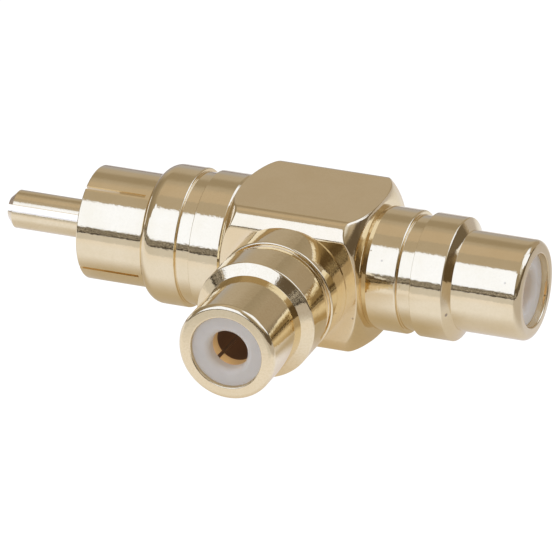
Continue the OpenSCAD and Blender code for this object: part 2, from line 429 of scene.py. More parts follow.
class Wire:
    """A socket of a node tree that takes arithmetic, each operation as one Math node."""

    def __init__(self, shader: "Shader", socket: bpy.types.NodeSocket) -> None:
        """Wraps an output socket of the shader."""
        self.shader = shader
        self.socket = socket

    def math(self, operation: str, *values: Any) -> "Wire":
        """One Math node, with numbers or wires for its inputs."""
        return self.shader.node("ShaderNodeMath", {"operation": operation}, dict(enumerate(values)))

    def __add__(self, other: Any) -> "Wire":
        """Sum."""
        return self.math("ADD", self, other)

    __radd__ = __add__

    def __mul__(self, other: Any) -> "Wire":
        """Product."""
        return self.math("MULTIPLY", self, other)

    __rmul__ = __mul__

    def __sub__(self, other: Any) -> "Wire":
        """Difference."""
        return self.math("SUBTRACT", self, other)

    def __rsub__(self, other: Any) -> "Wire":
        """Difference from a number."""
        return self.math("SUBTRACT", other, self)

    def step(self, zero: float, one: float) -> "Wire":
        """Smooth step from 0 at one value to 1 at the other, up or down."""
        return self.shader.node("ShaderNodeMapRange", {"interpolation_type": "SMOOTHSTEP"},
                                {"Value": self, "From Min": zero, "From Max": one})

    def band(self, low: float, high: float, soft: float) -> "Wire":
        """Smooth steps, up round the low value and down round the high one, each twice soft wide."""
        return self.step(low - soft, low + soft) * self.step(high + soft, high - soft)


class Shader:
    """Builds the node tree of a material or of the world."""

    def __init__(self, owner: bpy.types.Material | bpy.types.World) -> None:
        """Empties the owner's node tree.

        Args:
            owner: The material or world that the tree belongs to.
        """
        owner.use_nodes = True
        self.tree = owner.node_tree
        self.tree.nodes.clear()

    def node(self, kind: str, settings: dict[str, Any] | None = None, inputs: dict[Any, Any] | None = None,
             output: int | str = 0) -> Wire:
        """Adds one node.

        Args:
            kind: The node's type.
            settings: Properties, set first.
            inputs: A number, colour or wire for each socket, by name or number.
            output: The output that is wanted.

        Returns:
            That output.
        """
        made = self.tree.nodes.new(kind)
        for name, value in (settings or {}).items():
            setattr(made, name, value)
        for name, value in (inputs or {}).items():
            if isinstance(value, Wire):
                self.tree.links.new(value.socket, made.inputs[name])
            else:
                made.inputs[name].default_value = value
        return Wire(self, made.outputs[output])

    def mix(self, factor: Wire | float, one: Any, other: Any) -> Wire:
        """Mixes two colours; the factor is the share of the other one."""
        return self.node("ShaderNodeMix", {"data_type": "RGBA"}, {0: factor, 6: one, 7: other}, output=2)

    def noise(self, vector: Wire, scale: float, detail: float, roughness: float) -> Wire:
        """Fractal noise from 0 to 1, with its waves for each unit, octaves and their roughness."""
        return self.node("ShaderNodeTexNoise", None, {
            "Vector": vector, "Scale": scale, "Detail": detail, "Roughness": roughness})

    def bump(self, height: Wire) -> Wire:
        """A normal that follows a height in millimetres."""
        return self.node("ShaderNodeBump", None, {"Strength": 1.0, "Distance": MM, "Height": height})

    def recess_shade(self) -> Wire:
        """Share of painted shade and bounce light of hollows at the surface, from 0 to 1."""
        return self.node("ShaderNodeAttribute", {"attribute_name": RECESS_SHADE}, output="Fac")

    def place(self, scale: Triple = (1, 1, 1), turn: Triple = (0, 0, 0)) -> Wire:
        """Object coordinates in millimetres, stretched, and turned by angles in radians."""
        here = self.node("ShaderNodeTexCoord", output="Object")
        return self.node("ShaderNodeMapping", None, {
            "Vector": here, "Rotation": turn, "Scale": tuple(s / MM for s in scale)})

    def parts(self, vector: Wire) -> tuple[Wire, Wire, Wire]:
        """The x, y and z of a vector."""
        split = self.node("ShaderNodeSeparateXYZ", None, {0: vector})
        return tuple(Wire(self, out) for out in split.socket.node.outputs)

    def finish(self, surface: Wire, kind: str = "ShaderNodeOutputMaterial") -> None:
        """Joins the surface to an output node of this kind."""
        out = self.tree.nodes.new(kind)
        self.tree.links.new(surface.socket, out.inputs["Surface"])


@dataclass(frozen=True)
class Mark:
    """A pit in the plating, in millimetres from the part's origin. Its core is a share of its radius."""

    place: Triple
    radius: float
    depth: float = 0.5
    core: float = 0.4


@dataclass(frozen=True)
class CreviceShade:
    """A stretch along an axis, 0 for X and 1 for Y, near which the plating takes painted shade and bounce
    light.

    The colour fades out between the two radii and at the ends of the stretch. Sizes are millimetres.
    """

    axis: int
    along: Pair
    radius: Pair
    share: float
    fade: float = 0.1

    def mask(self, places: tuple[Wire, Wire, Wire], height: float) -> Wire:
        """Share of the painted shade and bounce light.

        Args:
            places: Object coordinates in millimetres.
            height: Height of the axis.

        Returns:
            The share.
        """
        x, y, z = places
        along, across = (x, y) if self.axis == 0 else (y, x)
        up = z - height
        square = across * across + up * up
        away = square.math("SQRT", square)
        return along.band(*self.along, self.fade) * (1 - away.step(*self.radius)) * self.share


@dataclass(frozen=True)
class Plating:
    """Polished gold plate over turned or ground brass. Heights are millimetres.

    The glows stand for the light that pale plastic and narrow recesses throw on the plating: one inside a
    recess, one on the open surfaces.
    """

    name: str
    grain: Triple
    colour: Colour = (0.83, 0.69, 0.43, 1.0)
    deep: Colour = (0.80, 0.655, 0.392, 1.0)
    speck: Colour = (0.755, 0.61, 0.352, 1.0)
    # Painted shade and bounce light: inside is the colour that hollows, slot walls and the joints by the body
    # take. The glows are painted light.
    inside: Colour = (0.82, 0.695, 0.475, 1.0)
    glow: Colour = (0.02, 0.012, 0.004, 1.0)
    open_glow: Colour = (0.0, 0.0, 0.0, 1.0)
    pit: Colour = (0.20, 0.15, 0.13, 1.0)
    roughness: float = 0.055
    inside_roughness: float = 0.03
    grain_roughness: float = 0.04
    blotch_roughness: float = 0.02
    grain_turn: Triple = (0.0, 0.0, 0.0)
    peel_height: float = 0.0042
    fine_height: float = 0.0019
    grain_height: float = 0.0010
    pit_height: float = 0.02
    specks: float = 0.18
    marks: tuple[Mark, ...] = ()
    crevice_shades: tuple[CreviceShade, ...] = ()

    # Waves in a millimetre, octaves and roughness of each noise, and the values between which it steps up
    GRAIN, GRAIN_STEP = (1.0, 3.0, 0.6), (0.45, 0.8)
    PEEL = (2.8, 2.0, 0.45)
    FINE = (7.0, 1.0, 0.5)
    BLOTCH, BLOTCH_STEP = (0.35, 3.0, 0.6), (0.3, 0.75)
    SPECK, SPECK_STEP = (5.5, 2.0, 0.6), (0.38, 0.68)

    def material(self) -> bpy.types.Material:
        """Builds the material: peel and grain in the bump, blotches and specks in the colour, and the pits.

        Returns:
            The material.
        """
        made = bpy.data.materials.new(self.name)
        shader = Shader(made)
        even = shader.place()
        grain = shader.noise(shader.place(self.grain, self.grain_turn), *self.GRAIN)
        peel = shader.noise(even, *self.PEEL)
        fine = shader.noise(even, *self.FINE)
        blotch = shader.noise(even, *self.BLOTCH).step(*self.BLOTCH_STEP)
        speck = shader.noise(even, *self.SPECK).step(*self.SPECK_STEP)
        recess_shade = shader.recess_shade()
        pits = self.pits(shader, even)
        height = peel * self.peel_height + fine * self.fine_height + grain * self.grain_height
        colour = shader.mix(blotch, self.colour, self.deep)
        colour = shader.mix(speck * self.specks, colour, self.speck)
        # Painted shade and bounce light: hollows, slot walls and the joints where the arms meet the body take
        # the inside colour
        colour = shader.mix(recess_shade, colour, self.inside)
        for crevice in self.crevice_shades:
            colour = shader.mix(crevice.mask(shader.parts(even), axis_height() / MM), colour, self.inside)
        rough = (self.roughness + self.grain_roughness * grain.step(*self.GRAIN_STEP)
                 + self.blotch_roughness * blotch + self.inside_roughness * recess_shade)
        # The glows are painted light, given out as emission; hollows are also rougher
        shader.finish(shader.node("ShaderNodeBsdfPrincipled", None, {
            "Base Color": shader.mix(pits, colour, self.pit), "Metallic": 1.0, "Roughness": rough,
            "Emission Color": shader.mix(recess_shade, self.open_glow, self.glow), "Emission Strength": 1.0,
            "Normal": shader.bump(height - pits * self.pit_height)}))
        return made

    def pits(self, shader: Shader, here: Wire) -> Wire | float:
        """Soft spots at the marks, as strong as a mark's depth in its core and 0 outside its radius.

        Args:
            shader: The material's shader.
            here: Object coordinates in millimetres.

        Returns:
            The sum of the spots.
        """
        spots: Wire | float = 0.0
        for mark in self.marks:
            away = shader.node("ShaderNodeVectorMath", {"operation": "DISTANCE"}, {0: here, 1: mark.place},
                               output="Value")
            spots = spots + mark.depth * away.step(mark.radius, mark.core * mark.radius)
        return spots


@dataclass(frozen=True)
class Plastic:
    """Pale moulded plastic that lets a little light in: the depth is metres, as the shader takes it."""

    name: str
    colour: Colour = (0.60, 0.531, 0.392, 1.0)
    shade: Colour = (0.565, 0.50, 0.365, 1.0)
    # Painted shade: inside is the darker colour in the hole. Painted light: glow on the open plastic, and
    # inside_glow faintly in the hole
    inside: Colour = (0.30, 0.23, 0.16, 1.0)
    glow: Colour = (0.15, 0.14, 0.13, 1.0)
    inside_glow: Colour = (0.02, 0.012, 0.007, 1.0)
    roughness: float = 0.38
    pore_roughness: float = 0.1
    pore_height: float = 0.0012
    translucency: float = 0.8
    reach: Triple = (1.0, 0.9, 0.85)
    depth: float = 0.0014

    # Waves in a millimetre, octaves and roughness of each noise, and the values between which it steps up
    CLOUD, CLOUD_STEP = (0.9, 3.0, 0.55), (0.35, 0.75)
    PORES = (9.0, 2.0, 0.5)

    def material(self) -> bpy.types.Material:
        """Builds the material: clouds in the colour, painted shade in the hole and painted glow, pores in the
        bump and the roughness.

        Returns:
            The material.
        """
        made = bpy.data.materials.new(self.name)
        shader = Shader(made)
        even = shader.place()
        cloud = shader.noise(even, *self.CLOUD).step(*self.CLOUD_STEP)
        pores = shader.noise(even, *self.PORES)
        recess_shade = shader.recess_shade()
        shader.finish(shader.node("ShaderNodeBsdfPrincipled", None, {
            "Base Color": shader.mix(recess_shade, shader.mix(cloud, self.colour, self.shade), self.inside),
            "Emission Color": shader.mix(recess_shade, self.glow, self.inside_glow), "Emission Strength": 1.0,
            "Roughness": self.roughness + self.pore_roughness * pores, "Subsurface Weight": self.translucency,
            "Subsurface Radius": self.reach, "Subsurface Scale": self.depth,
            "Normal": shader.bump(pores * self.pore_height)}))
        return made


class Finishes:
    """The finishes of the adapter, each made once."""

    # Waves of the turning grain in a millimetre, along its lines and across them
    ALONG, ACROSS = 0.25, 7.0

    def __init__(self) -> None:
        """Makes the materials."""
        self.plate_x = Plating("gold_plate_turned_x", (self.ACROSS, self.ALONG, self.ALONG), marks=(
            Mark((13.25, -4.49, 4.68), 0.2, 0.7), Mark((7.65, -4.3, 8.54), 0.12, 0.4),
            Mark((6.55, -3.88, 9.11), 0.08, 0.4), Mark((18.0, -3.58, 7.91), 0.14, 0.3))).material()
        self.plate_y = Plating(
            "gold_plate_turned_y", (self.ALONG, self.ACROSS, self.ALONG), specks=0.5).material()
        self.plate_flat = Plating(
            "gold_plate_ground", (0.3, 5.0, 5.0), colour=(0.83, 0.675, 0.41, 1), deep=(0.80, 0.64, 0.373, 1),
            grain_turn=(0, 0, 0.35), roughness=0.09, grain_height=0.0005, specks=0.35,
            marks=(Mark((5.62, -5.8, 3.69), 0.12),),
            # Painted shade and bounce light where the side and in-line sockets meet the body
            crevice_shades=(CreviceShade(1, (-7.0, -5.74), (5.1, 5.6), 0.4, 0.03),
                      CreviceShade(0, (5.6, 7.0), (5.3, 6.1), 0.5))).material()
        self.pin = Plating(
            "gold_plate_pin", (self.ALONG, self.ACROSS, self.ACROSS), roughness=0.13, specks=0.4).material()
        # The contact takes painted shade down its bore, and painted light as a glow on its open mouth
        self.contact = Plating(
            "gilt_contact", (3.0, 3.0, 3.0), colour=(0.98, 0.80, 0.48, 1), deep=(0.93, 0.74, 0.43, 1),
            inside=(0.45, 0.32, 0.2, 1), roughness=0.34, inside_roughness=0.0,
            glow=(0.024, 0.013, 0.007, 1), open_glow=(0.27, 0.165, 0.07, 1)).material()
        self.plastic = Plastic("pale_insulator").material()


@dataclass
class Body:
    """The square bar that the three arms are pressed into.

    The edge marks are shares of the way round a long edge, with its direction there in degrees. The points
    on an edge lie evenly over the directions of the round span.
    """

    finishes: Finishes
    edge_r: float = 1.5
    seat_r: float = 5.55
    crown_r: float = 3.2
    bevel_len: float = 1.4
    bore_r: float = 3.91
    drill_r: float = 3.905
    edge_soft: float = 0.12
    edge_soft_share: float = 0.35
    rim_soft: float = 0.05
    rim_soft_share: float = 0.25
    flat_cells: int = 52
    round_cells: int = 28
    round_span: Pair = (1, 89)
    walk_steps: int = 560
    bevel_steps: int = 13
    edge_steps: int = 7
    rim_steps: int = 5
    drill_cells: int = 160
    drill_past: float = 1.0
    edge_marks: tuple[Pair, ...] = ((-0.1, 0), (0.02, 0), (0.43, 44), (0.90, 70.5), (0.985, 90), (1.1, 90))

    def section(self, half: float) -> Array:
        """Outline of the bar across its length: flats with even points, and hand-dressed edges between.

        An edge starts gently on the top face, is almost flat about two thirds of the way round, and meets the
        front face tightly. Its direction is the blurred line through the edge marks, and its points are the
        running sum of the steps in that direction, scaled to end on both faces.

        Args:
            half: Half of the width across the flats.

        Returns:
            Points in the plane across the bar (y and z), one turn round.
        """
        reach, steps = half - self.edge_r, self.walk_steps
        margin, blur = steps // 10, steps // 16
        share, degrees = np.array(self.edge_marks).T
        wide = np.interp(np.linspace(share[0], share[-1], steps + 2 * margin + 1), share, degrees)
        turn = np.convolve(wide, np.ones(blur) / blur, mode="same")[margin : margin + steps + 1]
        middle = np.radians(turn[1:] + turn[:-1]) / 2
        run = np.concatenate([[0], np.cumsum(np.cos(middle))])
        drop = np.concatenate([[0], np.cumsum(np.sin(middle))])
        inner = np.interp(np.linspace(*self.round_span, self.round_cells - 1), turn, np.arange(steps + 1))
        keep = np.concatenate([[0], np.rint(inner).astype(int), [steps]])
        edge = np.column_stack([
            -reach - self.edge_r * run[keep] / run[-1], half - self.edge_r * drop[keep] / drop[-1]])
        flat = np.linspace(reach, -reach, self.flat_cells + 1)[1:-1]
        front = np.column_stack([np.full_like(flat, -half), flat])
        top = np.column_stack([flat, np.full_like(flat, half)])
        back = edge[::-1]
        return np.concatenate([edge, front, back * (1, -1), -top, -edge, -front, back * (-1, 1), top])

    def surface(self) -> Surface:
        """The bar with its crowned bevels and its through bore.

        Round the bar, column i has the bar's own radius R_i. Along it, the radius is R_i up to the bevel's
        arc, then follows the arc to the rim of the seat face, then the face in to the bore. The edge between
        flat and bevel, and the rim, are short Bezier curves.

        Returns:
            The closed surface.
        """
        half, length = Arm.SIDE.seat, Arm.THROUGH.seat
        outline = self.section(half)
        radius = np.hypot(outline[:, 0], outline[:, 1])
        direction = outline / radius[:, None]
        corner = (half - self.edge_r) * math.sqrt(2) + self.edge_r
        chord = math.hypot(corner - self.seat_r, self.bevel_len)
        inward = math.sqrt(self.crown_r**2 - (chord / 2) ** 2)
        centre_r = (self.seat_r + corner) / 2 - inward * self.bevel_len / chord
        centre_x = length - self.bevel_len / 2 - inward * (corner - self.seat_r) / chord

        def bevel(x: Array) -> tuple[Array, Array]:
            """Distance along the bar, and the bevel's radius there."""
            return x, centre_r + np.sqrt(self.crown_r**2 - (x - centre_x) ** 2)

        edge = centre_x + np.sqrt(self.crown_r**2 - (radius - centre_r) ** 2)
        soft = np.minimum(self.edge_soft, self.edge_soft_share * (length - edge))
        rim = np.minimum(self.rim_soft, self.rim_soft_share * (length - edge))
        last, face = length - rim, np.full_like(radius, length)
        rows: list[tuple[Array, Array]] = [(np.zeros_like(radius), radius), (edge - 3 * soft, radius)]
        rows += self.bezier((edge - soft, radius), (edge, radius), bevel(edge + soft), self.edge_steps)
        along = np.linspace(0, 1, self.bevel_steps + 1)[1:-1]
        rows += [bevel((edge + soft) * (1 - t) + last * t) for t in along]
        rows += self.bezier(bevel(last), (face, self.seat_r), (face, self.seat_r - rim), self.rim_steps)
        rows += [(face, self.seat_r - 2 * rim), (face, np.full_like(radius, self.bore_r))]
        x, r = (np.array([row[k] for row in rows]) for k in range(2))
        x = np.concatenate([x, -x[:0:-1]])
        r = np.concatenate([r, r[:0:-1]])
        points = np.stack([x, r * direction[:, 0], r * direction[:, 1]], axis=-1).reshape(-1, 3)
        number = np.arange(x.size).reshape(x.shape)
        side, top = np.roll(number, -1, axis=1), np.roll(number, -1, axis=0)
        return Surface(points, quads(number, side, np.roll(top, -1, axis=1), top))

    @staticmethod
    def bezier(start: tuple[Array, Array], middle: tuple[Array, Any], end: tuple[Array, Array],
               steps: int) -> list[tuple[Array, Array]]:
        """Rows along a quadratic Bezier curve, for all columns at once.

        Args:
            start: Distance along and radius at the start.
            middle: The same at the control point.
            end: The same at the end.
            steps: Steps along the curve.

        Returns:
            Rows of distance along and radius.
        """
        rows = []
        for t in np.linspace(0, 1, steps + 1):
            weights = ((1 - t) ** 2, 2 * t * (1 - t), t**2)
            rows.append(tuple(sum(w * p[k] for w, p in zip(weights, (start, middle, end))) for k in range(2)))
        return rows

    def build(self) -> None:
        """Makes the body, cuts its side bore and dresses it."""
        piece = make_piece("square_body", self.surface(), ("tee_body",))
        drill = bpy.data.objects.new("side_drill", bpy.data.meshes.new("side_drill"))
        work = bmesh.new()
        reach, radius = Arm.SIDE.seat + self.drill_past, self.drill_r * MM
        bmesh.ops.create_cone(work, cap_ends=True, segments=self.drill_cells, radius1=radius, radius2=radius,
                              depth=reach * MM)
        bmesh.ops.rotate(work, verts=work.verts, matrix=Matrix.Rotation(math.radians(90), 3, "X"))
        bmesh.ops.translate(work, verts=work.verts, vec=(0, -reach / 2 * MM, axis_height()))
        work.to_mesh(drill.data)
        work.free()
        bpy.context.scene.collection.objects.link(drill)
        cut = piece.modifiers.new("side_bore", "BOOLEAN")
        cut.operation, cut.solver, cut.object = "DIFFERENCE", "EXACT", drill
        bpy.context.view_layer.update()
        mesh = bpy.data.meshes.new_from_object(piece.evaluated_get(bpy.context.evaluated_depsgraph_get()))
        piece.modifiers.clear()
        whole, piece.data = piece.data, mesh
        bpy.data.meshes.remove(whole)
        bpy.data.meshes.remove(drill.data)
        mesh.name = piece.name
        mesh.set_sharp_from_angle(angle=math.radians(SHARP_DEG))
        mesh.materials.clear()
        mesh.materials.append(self.finishes.plate_flat)
        LOG.info("%s: %d faces with its side bore", piece.name, len(mesh.polygons))


@dataclass
class TurnedArm:
    """What the plug and the sockets have in common: turned pieces on one arm of the body.

    The painted shade and bounce light of hollows starts under the lit part of a groove's wall, and comes in
    over the fades.
    """

    finishes: Finishes
    arm: Arm
    label: str
    shell_cells: int = 256
    groove_w: float = 1.2
    groove_shade: float = 0.7
    groove_lit: float = 0.1
    groove_fade: float = 0.005
    bore_fade: float = 0.3
    spigot_r: float = 3.9
    spigot_len: float = 1.5
    tail_r: float = 0.8
    tail_gap: float = 0.05
    fit: float = 0.01

    def make(self, name: str, surface: Surface, slot: Slot, node: str, finish: bpy.types.Material) -> None:
        """Places a surface on the arm, makes its piece and dresses it.

        Args:
            name: The piece's name, after the arm's label.
            surface: The surface, in millimetres from the middle of the seat face.
            slot: Material slot of the record; not used.
            node: The node that it stands for, after the arm's label.
            finish: The piece's material.
        """
        surface.points = self.arm.place(surface.points)
        piece = make_piece(f"{self.label}_{name}", surface, (f"{self.label}_{node}",))
        piece.data.materials.append(finish)


@dataclass
class Plug(TurnedArm):
    """The plug: a turned shell with a slotted ground sleeve, an insulator and a split pin."""

    neck_len: float = 2.75
    neck_chamfer: float = 0.1
    neck_run: float = 0.18
    neck_edge: float = 0.07
    groove_floor: float = 5.52
    groove_root: float = 0.04
    collar_r: float = 5.8
    collar_len: float = 2.2
    collar_edge: float = 0.14
    shoulder_len: float = 1.25
    shoulder_steps: int = 14
    sleeve_r: float = 4.725
    sleeve_bore_r: float = 4.15
    sleeve_len: float = 5.75
    sleeve_foot: float = 0.06
    sleeve_rim: float = 0.12
    slots: int = 4
    slot_len: float = 5.3
    slot_w: float = 0.28
    slot_turn_deg: float = 61.0
    boss_r: float = 3.2
    boss_len: float = 2.5
    cavity_depth: float = 7.2
    insulator_len: float = 3.95
    insulator_edge: float = 0.15
    insulator_cells: int = 128
    pin_cells: int = 192
    pin_r: float = 1.6
    pin_reach: float = 7.7
    pin_nose: float = 0.6
    pin_slot_w: float = 0.55
    pin_slot_len: float = 9.5
    pin_slot_turn_deg: float = 116.0
    shank_r: float = 1.9
    flange_r: float = 2.4
    flange_len: float = 0.9

    def __post_init__(self) -> None:
        """Works out the heights of the shoulder, the mouth, the insulator's face and the step it seats on."""
        self.shoulder_z = self.neck_len + self.groove_w + self.collar_len
        self.mouth_z = self.shoulder_z + self.shoulder_len + self.sleeve_len
        self.face_z = self.mouth_z - self.cavity_depth
        self.stop_z = self.face_z - self.insulator_len

    def shell(self) -> Surface:
        """The shell: neck, groove, collar, rounded shoulder and slotted sleeve, with its stepped bore.

        The shoulder is one arc that leaves the collar without an edge and meets the sleeve steeply.

        Returns:
            The closed surface.
        """
        collar, sleeve, bore, floor = self.collar_r, self.sleeve_r, self.sleeve_bore_r, self.groove_floor
        neck_z, stop_z, back_z, mouth_z = self.neck_len, self.stop_z, -self.spigot_len, self.mouth_z
        groove_z, slot_z, shoulder_z = neck_z + self.groove_w, mouth_z - self.slot_len, self.shoulder_z
        drop = collar - sleeve
        arc_r = (self.shoulder_len**2 + drop**2) / (2 * drop)
        bend = np.linspace(0, math.asin(self.shoulder_len / arc_r), self.shoulder_steps + 1)[:-1]
        shoulder = [(shoulder_z + arc_r * math.sin(t), collar - arc_r * (1 - math.cos(t)), 0.0) for t in bend]
        back = Turn((
            (stop_z, bore, CRISP), (stop_z, self.boss_r, CRISP), (back_z, self.boss_r, EASED),
            (back_z, self.spigot_r, BROKEN), (0, self.spigot_r, CRISP),
            (0, collar - self.neck_chamfer, TIGHT), (self.neck_run, collar, BROKEN),
            (neck_z, collar, self.neck_edge), (neck_z, floor, TIGHT), (groove_z, floor, self.groove_root),
            (groove_z, collar, self.collar_edge), *shoulder,
            (shoulder_z + self.shoulder_len, sleeve, self.sleeve_foot),
            (slot_z, sleeve, 0)), closed=False).rows()
        out, inner = (Turn(((slot_z, r, 0), (mouth_z, r, self.sleeve_rim), (mouth_z, (sleeve + bore) / 2, 0)),
                           closed=False).rows()[:-1] for r in (sleeve, bore))
        first = len(back) - 1
        ring = Ring(self.shell_cells, self.slots, self.slot_w, self.slot_turn_deg)
        rows = np.concatenate([back[:-1], out, inner[::-1]])
        shell = turned(rows, ring, cut=(first, first + 2 * len(out) - 1))
        # Painted shade and bounce light in the sleeve's bore and on the groove's wall
        shell.shade(bore + PAST, neck_z, mouth_z, fade=self.bore_fade)
        shell.shade(collar - self.groove_lit, groove_z - PAST, groove_z + PAST / 2, self.groove_shade,
                    self.groove_fade)
        return shell

    def pin(self) -> Surface:
        """The pin: tail, flange, shank and the split tip with its chamfered nose.

        Returns:
            The closed surface.
        """
        tail, flange, shank, pin = self.tail_r, self.flange_r, self.shank_r, self.pin_r
        tip_z, tail_z, stop_z = self.mouth_z + self.pin_reach, self.tail_gap - self.arm.seat, self.stop_z
        split_z, flange_z, nose = tip_z - self.pin_slot_len, stop_z - self.flange_len, self.pin_nose
        base = Turn((
            (tail_z, 0, 0), (tail_z, tail, EASED), (flange_z, tail, TIGHT), (flange_z, flange, EASED),
            (stop_z, flange, EASED), (stop_z, shank, TIGHT), (self.face_z, shank, EASED),
            (self.face_z, pin, EASED), (split_z, pin, 0)), closed=False).rows()
        tip = Turn(((split_z, pin, 0), (tip_z - nose, pin, BROKEN), (tip_z, pin - nose, BROKEN),
                    (tip_z, pin - 2 * nose, 0)), closed=False, arc_steps=10).rows()
        rows = np.concatenate([base[:-1], tip])
        ring = Ring(self.pin_cells, 2, self.pin_slot_w, self.pin_slot_turn_deg)
        return split_rod(rows, ring, len(base) - 1)

    def insulator(self) -> Surface:
        """The stepped bush that holds the pin.

        Returns:
            The closed surface.
        """
        face_z, stop_z, back_z = self.face_z, self.stop_z, self.stop_z - self.boss_len
        outer, boss = self.sleeve_bore_r - self.fit, self.boss_r - self.fit
        hole, pocket = self.shank_r + self.fit, self.flange_r + self.fit
        return turned(Turn((
            (face_z, hole, EASED), (face_z, outer, self.insulator_edge), (stop_z, outer, EASED),
            (stop_z, boss, TIGHT), (back_z, boss, BROKEN), (back_z, pocket, EASED), (stop_z, pocket, TIGHT),
            (stop_z, hole, TIGHT))).rows(), Ring(self.insulator_cells))

    def build(self) -> None:
        """Makes and dresses the plug's three pieces."""
        self.make("sleeve", self.shell(), Slot.PLATE, "shell", self.finishes.plate_x)
        self.make("centre_pin", self.pin(), Slot.PLATE, "pin", self.finishes.pin)
        self.make("bush", self.insulator(), Slot.PLASTIC, "insulator", self.finishes.plastic)


